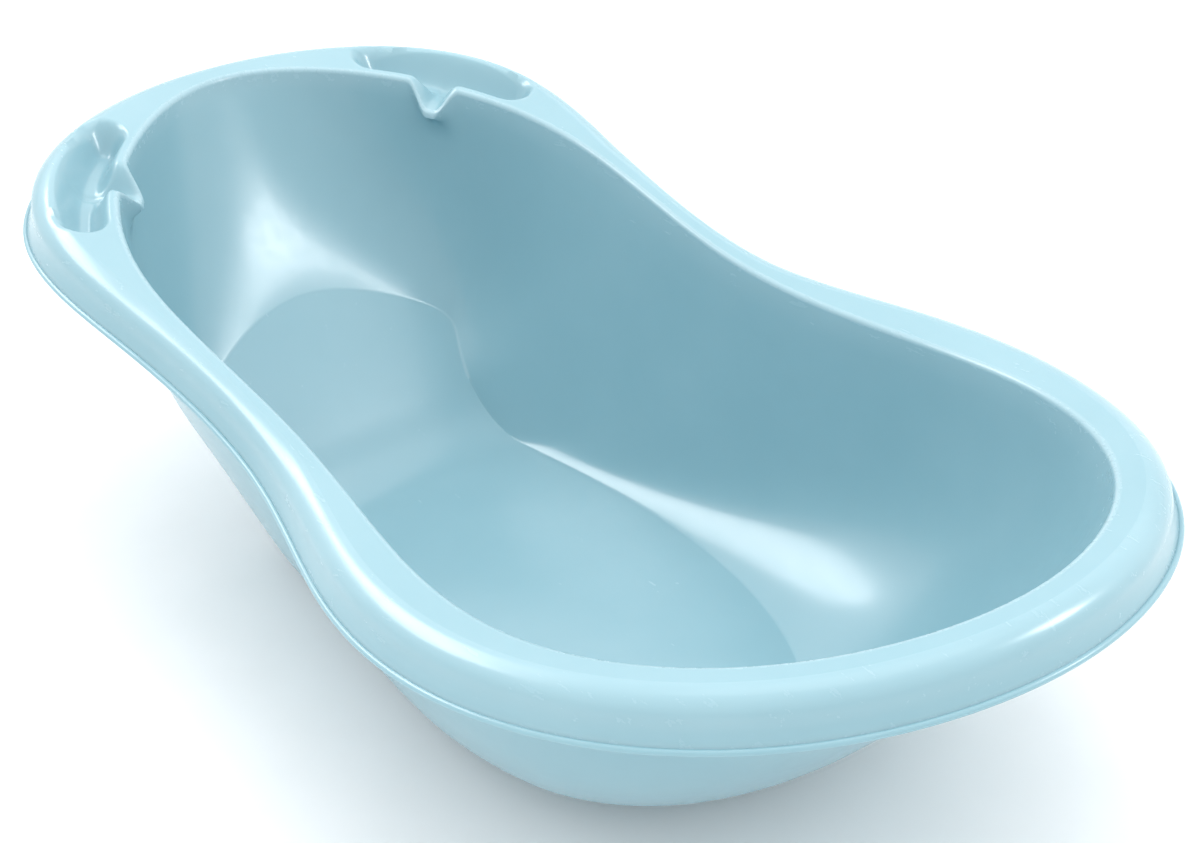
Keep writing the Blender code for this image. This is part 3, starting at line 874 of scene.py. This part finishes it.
# ---------------------------------------------------------------- stopper
@dataclass
class DrainStopper:
    """The lift-out stopper with its seal and pull ring."""

    finish: PlasticFinish
    seal_finish: RubberFinish
    centre: tuple[float, float] = (0.150, 0.0)
    head_bottom: float = 0.0093
    head_radius: float = 0.025
    head_thickness: float = 0.003
    stem_radius: float = 0.0145
    stem_bottom: float = 0.0023
    lip_radius: float = 0.0165
    lip_thickness: float = 0.0012
    lug_length: float = 0.007
    lug_width: float = 0.008
    lug_height: float = 0.0065
    wire_radius: float = 0.0015
    gap: float = 0.0003
    seal_outer: float = 0.0177
    seal_rib: float = 0.0009
    seal_ribs: int = 2
    seal_steps: int = 32
    ring_half_width: float = 0.012
    ring_length: float = 0.020
    ring_corner_share: float = 0.45
    table_radius: float = 0.009
    dish_from: float = 0.0115
    dish_to: float = 0.0195
    rim_from: float = 0.0215
    dish_depth: float = 0.0007
    rim_slope: float = 0.0002
    lip_taper: float = 0.0006
    hollow_radius: float = 0.012
    hollow_draft: float = 0.0005
    hollow_depth: float = 0.004
    lug_root: float = 0.001
    lug_arch_steps: int = 13
    lug_bevel: float = 0.0005
    lug_bevel_angle: float = 0.8
    bore_steps: int = 32
    sharp_degrees: float = 40.0

    @property
    def head_top(self) -> float:
        """Height of the head's upper face."""
        return self.head_bottom + self.head_thickness

    @property
    def hinge_height(self) -> float:
        """Height of the pull ring's axis."""
        return self.head_top + self.lug_height / 2

    def build_plug(self, materials: Materials) -> bpy.types.Object:
        """Turn the plug, with a finger dish round the lug, and bore its lug."""
        mat = materials.plastic(self.finish)
        top = self.head_top
        lip_top = self.stem_bottom + self.lip_thickness
        dish = top - self.dish_depth
        ceiling = self.stem_bottom + self.hollow_depth
        corners = [(0, top, 0), (self.table_radius, top, 0.001), (self.dish_from, dish, 0.001),
                   (self.dish_to, dish, 0.001), (self.rim_from, top, 0.0008),
                   (self.head_radius, top - self.rim_slope, 0.0012),
                   (self.head_radius, self.head_bottom, 0.0006),
                   (self.stem_radius, self.head_bottom, 0), (self.stem_radius, lip_top, 0),
                   (self.lip_radius, lip_top, 0.0003),
                   (self.lip_radius - self.lip_taper, self.stem_bottom, 0.0003),
                   (self.hollow_radius + self.hollow_draft, self.stem_bottom, 0.0003),
                   (self.hollow_radius, ceiling, 0.0006), (0, ceiling, 0)]
        plug = turned("stopper", rounded_outline(corners), self.centre, mat)
        lug = self.lug(mat)
        bore_radius = self.wire_radius + self.gap
        bore = turned("bore", [(0, -self.lug_width), (bore_radius, -self.lug_width),
                               (bore_radius, self.lug_width), (0, self.lug_width)],
                      (0, 0), mat, self.bore_steps)
        bore.matrix_world = (Matrix.Translation((*self.centre, self.hinge_height))
                             @ Matrix.Rotation(math.pi / 2, 4, "X"))
        boolean(plug, lug, "UNION")
        boolean(plug, bore, "DIFFERENCE")
        applied(plug)
        for tool in (lug, bore):
            bpy.data.objects.remove(tool, do_unlink=True)
        plug.data.shade_smooth()
        plug.data.set_sharp_from_angle(angle=math.radians(self.sharp_degrees))
        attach(plug, Body.STOPPER.value)
        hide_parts("drain_stopper")
        return plug

    def lug(self, mat: bpy.types.Material) -> bpy.types.Object:
        """The arched lug that the pull ring turns in."""
        bm = bmesh.new()
        half = self.lug_length / 2
        base = self.head_top - self.lug_root
        height = self.lug_height + self.lug_root
        outline = [(-half, base)]
        rise = height - half
        outline += [(-half * math.cos(a), base + rise + half * math.sin(a))
                    for a in np.linspace(0, math.pi, self.lug_arch_steps)]
        outline += [(half, base)]
        near, far = ([bm.verts.new((self.centre[0] + x, y, z)) for x, z in outline]
                     for y in (-self.lug_width / 2, self.lug_width / 2))
        bm.faces.new(near)
        bm.faces.new(far[::-1])
        for k in range(len(outline)):
            n = (k + 1) % len(outline)
            bm.faces.new((near[k], near[n], far[n], far[k]))
        crisp = [e for e in bm.edges
                 if e.is_manifold and e.calc_face_angle() > self.lug_bevel_angle]
        bmesh.ops.bevel(bm, geom=crisp, offset=self.lug_bevel, segments=2, affect="EDGES")
        return object_from("lug", bm, mat)

    def build_seal(self, materials: Materials) -> bpy.types.Object:
        """Turn the soft seal with its sealing ribs."""
        mat = materials.rubber(self.seal_finish)
        inner = self.stem_radius + self.gap
        low = self.stem_bottom + self.lip_thickness + self.gap
        high = self.head_bottom - self.gap
        outline = [(inner, low), (inner, high)]
        for k in range(self.seal_steps + 1):
            t = k / self.seal_steps
            rib = 0.5 - 0.5 * math.cos(2 * math.pi * self.seal_ribs * t)
            outline.append((self.seal_outer - self.seal_rib * (1 - rib), high + (low - high) * t))
        seal = turned("stopper_seal_ribbed", outline, self.centre, mat)
        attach(seal, Body.STOPPER.value)
        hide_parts("stopper_seal")
        return seal

    def build_ring(self, materials: Materials) -> bpy.types.Object:
        """Sweep the D-shaped pull ring, its straight bar on the hinge axis."""
        corner = self.ring_half_width * self.ring_corner_share
        bend = self.ring_length - self.ring_half_width
        half = [(0.0, 0.0), (0.0, self.ring_half_width - corner)]
        half += [(corner * (1 - math.cos(a)), self.ring_half_width - corner * (1 - math.sin(a)))
                 for a in np.linspace(0.2, math.pi / 2, 6)]
        half += [(bend + self.ring_half_width * math.sin(a), self.ring_half_width * math.cos(a))
                 for a in np.linspace(0, math.pi / 2, 16)[:-1]]
        path = half + [(self.ring_length, 0.0)] + [(x, -y) for x, y in half[:0:-1]]
        curve = bpy.data.curves.new("pull_ring_wire", "CURVE")
        curve.dimensions = "3D"
        curve.bevel_depth = self.wire_radius
        curve.bevel_resolution = 5
        wire = curve.splines.new("POLY")
        wire.points.add(len(path) - 1)
        for point, (x, y) in zip(wire.points, path):
            point.co = (self.centre[0] + x, y, self.hinge_height, 1)
        wire.use_cyclic_u = True
        curve.materials.append(materials.plastic(self.finish))
        ring = applied(link(bpy.data.objects.new("pull_ring_wire", curve)))
        ring.data.shade_smooth()
        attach(ring, Body.PULL_RING.value)
        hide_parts("pull_ring")
        return ring

    def build(self, materials: Materials) -> list[bpy.types.Object]:
        """Make the stopper, its seal and its pull ring."""
        return [self.build_plug(materials), self.build_seal(materials), self.build_ring(materials)]


# ---------------------------------------------------------------- foot pads
@dataclass
class FootPads:
    """Four soft pads with a tread of small studs."""

    finish: RubberFinish
    radius: float = 0.014
    top: float = 0.0062
    tread: float = 0.0006
    stud_radius: float = 0.0011
    stud_tip: float = 0.0008
    stud_root: float = 0.0002
    stud_sides: int = 20
    rim_width: float = 0.0018
    rim_draft: float = 0.0004
    rim_bevel: float = 0.0006
    side_start: float = 0.0010
    top_bevel: float = 0.0006
    top_inset: float = 0.0008
    steps: int = 64
    rings: tuple = ((1, 0.0), (6, 0.0042), (12, 0.0084))
    places: dict = field(default_factory=lambda: {
        "foot_pad_head_left": (-0.115, 0.070), "foot_pad_head_right": (-0.115, -0.070),
        "foot_pad_foot_left": (0.085, 0.070), "foot_pad_foot_right": (0.085, -0.070)})

    def outline(self) -> list[tuple[float, float]]:
        """A pad's half section: a raised rim round the recess that the studs stand in."""
        inner = self.radius - self.rim_width
        return rounded_outline([(0, self.tread, 0), (inner - self.rim_draft, self.tread, 0),
                                (inner, 0.0, 0.0002), (self.radius - self.rim_bevel, 0.0, 0.0003),
                                (self.radius, self.side_start, 0.0004),
                                (self.radius, self.top - self.top_bevel, 0.0004),
                                (self.radius - self.top_inset, self.top, 0.0004), (0, self.top, 0)])

    def tread_tree(self, mat: bpy.types.Material) -> tuple[bpy.types.NodeTree, list[str]]:
        """Geometry Nodes that stand a stud on each loose point of a tread."""
        graph, ends, sizes = modifier_tree("stud_tread", ["Stud Radius", "Stud Depth"])
        # A stud is a short cone whose narrow end touches the ground.
        stud = graph.add("GeometryNodeMeshCone", {"Vertices": self.stud_sides,
                                                  "Radius Top": ends.outputs["Stud Radius"],
                                                  "Radius Bottom": self.stud_tip,
                                                  "Depth": ends.outputs["Stud Depth"]})
        placed = graph.add("GeometryNodeInstanceOnPoints", {"Points": ends.outputs["Geometry"],
                                                            "Instance": stud.outputs["Mesh"]})
        real = graph.add("GeometryNodeRealizeInstances", {"Geometry": placed.outputs["Instances"]})
        dressed = graph.add("GeometryNodeSetMaterial", {"Geometry": real.outputs["Geometry"],
                                                        "Material": mat})
        graph.add("NodeGroupOutput", {"Geometry": dressed.outputs["Geometry"]})
        return graph.tree, sizes

    def build(self, materials: Materials) -> list[bpy.types.Object]:
        """Make every pad and its tread."""
        mat = materials.rubber(self.finish)
        tree, (size, depth) = self.tread_tree(mat)
        made: list[bpy.types.Object] = []
        for name, place in self.places.items():
            pad = turned(name.replace("foot_pad", "pad"), self.outline(), place, mat, self.steps)
            studs = [(place[0] + ring * math.cos(2 * math.pi * k / count),
                      place[1] + ring * math.sin(2 * math.pi * k / count), 0.0)
                     for count, ring in self.rings for k in range(count)]
            mesh = bpy.data.meshes.new(name + "_tread")
            mesh.from_pydata(studs, [], [])
            tread = link(bpy.data.objects.new(name.replace("foot_pad", "tread"), mesh))
            step = tread.modifiers.new("studs", "NODES")
            step.node_group = tree
            step[size] = self.stud_radius
            step[depth] = self.tread + self.stud_root
            applied(tread)
            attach(pad, Body.TUB.value)
            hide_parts(name)
            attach(tread, Body.TUB.value)
            made += [pad, tread]
        return made


# ---------------------------------------------------------------- studio
@dataclass(frozen=True)
class SoftBox:
    """A rectangular soft light."""

    name: str
    place: Point
    target: Point
    size: tuple[float, float]
    watts: float
    lights_diffuse: bool = True


@dataclass
class Studio:
    """Pale floor, soft lights and the camera."""

    floor_finish: RubberFinish
    camera_place: Point = (0.8496, -0.6764, 0.8086)
    camera_aim: Point = (-0.65246, 0.55125, -0.52002)
    lens_mm: float = 58.9
    bright_side: Point = (-0.50, 0.42, 0.75)
    sky_near: float = 0.80
    sky_far: float = 1.95
    sky_turn: tuple[float, float] = (-0.6, 0.9)
    floor_half: float = 6.0
    floor_bend: float = 2.0
    floor_curve: float = 2.5
    boxes: tuple[SoftBox, ...] = (
        SoftBox("band_box", (-1.33, -0.48, 1.56), (0.05, 0.12, 0.02), (1.40, 0.60), 23.0,
                lights_diffuse=False),
        SoftBox("spot_box", (0.93, 0.80, 1.12), (-0.31, -0.02, 0.12), (0.34, 0.34), 7.0,
                lights_diffuse=False),
        SoftBox("overhead", (-0.1, 0.35, 2.3), (0.0, 0.05, 0.0), (1.5, 1.3), 8.0),
    )

    def build_floor(self, materials: Materials) -> bpy.types.Object:
        """A wide pale floor that curves up far behind the tub."""
        bm = bmesh.new()
        half, bend, curve = self.floor_half, self.floor_bend, self.floor_curve
        section = [(-half, 0), (bend, 0)]
        section += [(bend + curve * math.sin(a), curve * (1 - math.cos(a)))
                    for a in np.linspace(0.1, math.pi / 2, 14)]
        rows = [[bm.verts.new((x, y, z)) for x in (-half, half)] for y, z in section]
        for a, b in zip(rows, rows[1:]):
            bm.faces.new((a[0], a[1], b[1], b[0]))
        turn = Matrix.Rotation(math.atan2(self.camera_place[0], -self.camera_place[1]), 4, "Z")
        bmesh.ops.transform(bm, verts=bm.verts, matrix=turn)
        floor = object_from("studio_floor", bm, materials.rubber(self.floor_finish))
        return floor

    def build_lights(self) -> None:
        """Hang the soft boxes and set the even sky."""
        for box in self.boxes:
            lamp = bpy.data.lights.new(box.name, "AREA")
            lamp.shape = "RECTANGLE"
            lamp.size, lamp.size_y = box.size
            lamp.energy = box.watts
            holder = link(bpy.data.objects.new(box.name, lamp))
            holder.visible_diffuse = box.lights_diffuse
            holder.location = box.place
            aim = Vector(box.target) - Vector(box.place)
            holder.rotation_euler = aim.to_track_quat("-Z", "Y").to_euler()
        world = bpy.data.worlds.new("even_sky")
        bpy.context.scene.world = world
        world.use_nodes = True
        graph = NodeGraph(world.node_tree)
        shader = world.node_tree.nodes["Background"]
        # The sky is brighter behind the tub than behind the camera, which shades the near rim.
        ray = graph.add("ShaderNodeTexCoord").outputs["Generated"]
        toward = graph.add("ShaderNodeVectorMath", {0: ray, 1: self.bright_side},
                           operation="DOT_PRODUCT")
        level = graph.add("ShaderNodeMapRange", {"Value": toward.outputs["Value"],
                                                 "From Min": self.sky_turn[0],
                                                 "From Max": self.sky_turn[1],
                                                 "To Min": self.sky_near, "To Max": self.sky_far})
        graph.tree.links.new(level.outputs[0], shader.inputs["Strength"])
        shader.inputs["Color"].default_value = (1.0, 1.0, 1.0, 1.0)

    def build_camera(self) -> None:
        """Set up the camera."""
        data = bpy.data.cameras.new("camera")
        data.sensor_width = 36.0
        data.lens = self.lens_mm
        camera = link(bpy.data.objects.new("camera", data))
        camera.location = self.camera_place
        camera.rotation_euler = Vector(self.camera_aim).to_track_quat("-Z", "Y").to_euler()
        bpy.context.scene.camera = camera

    def build(self, materials: Materials) -> None:
        """Make the camera, the lights and the floor."""
        self.build_camera()
        self.build_lights()
        self.build_floor(materials)
        bpy.context.scene.view_settings.view_transform = "Standard"


def main() -> None:
    """Build the studio and every piece, in order."""
    logging.basicConfig(level=logging.INFO)
    materials = Materials()
    form = TubForm()
    pads = FootPads(SOFT_GREY)
    builders: list[tuple[str, Callable[[], object]]] = [
        ("studio", lambda: Studio(PALE_FLOOR).build(materials)),
        ("tub", lambda: TubShell(form, GLOSSY_BLUE).build(materials, pads.places)),
        ("hem bead", lambda: HemBead(form, GLOSSY_BLUE).build(materials)),
        ("stopper", lambda: DrainStopper(SATIN_WHITE, SOFT_GREY).build(materials)),
        ("foot pads", lambda: pads.build(materials)),
    ]
    for name, build in builders:
        build()
        log.info("built %s", name)


if __name__ == "__main__":
    main()
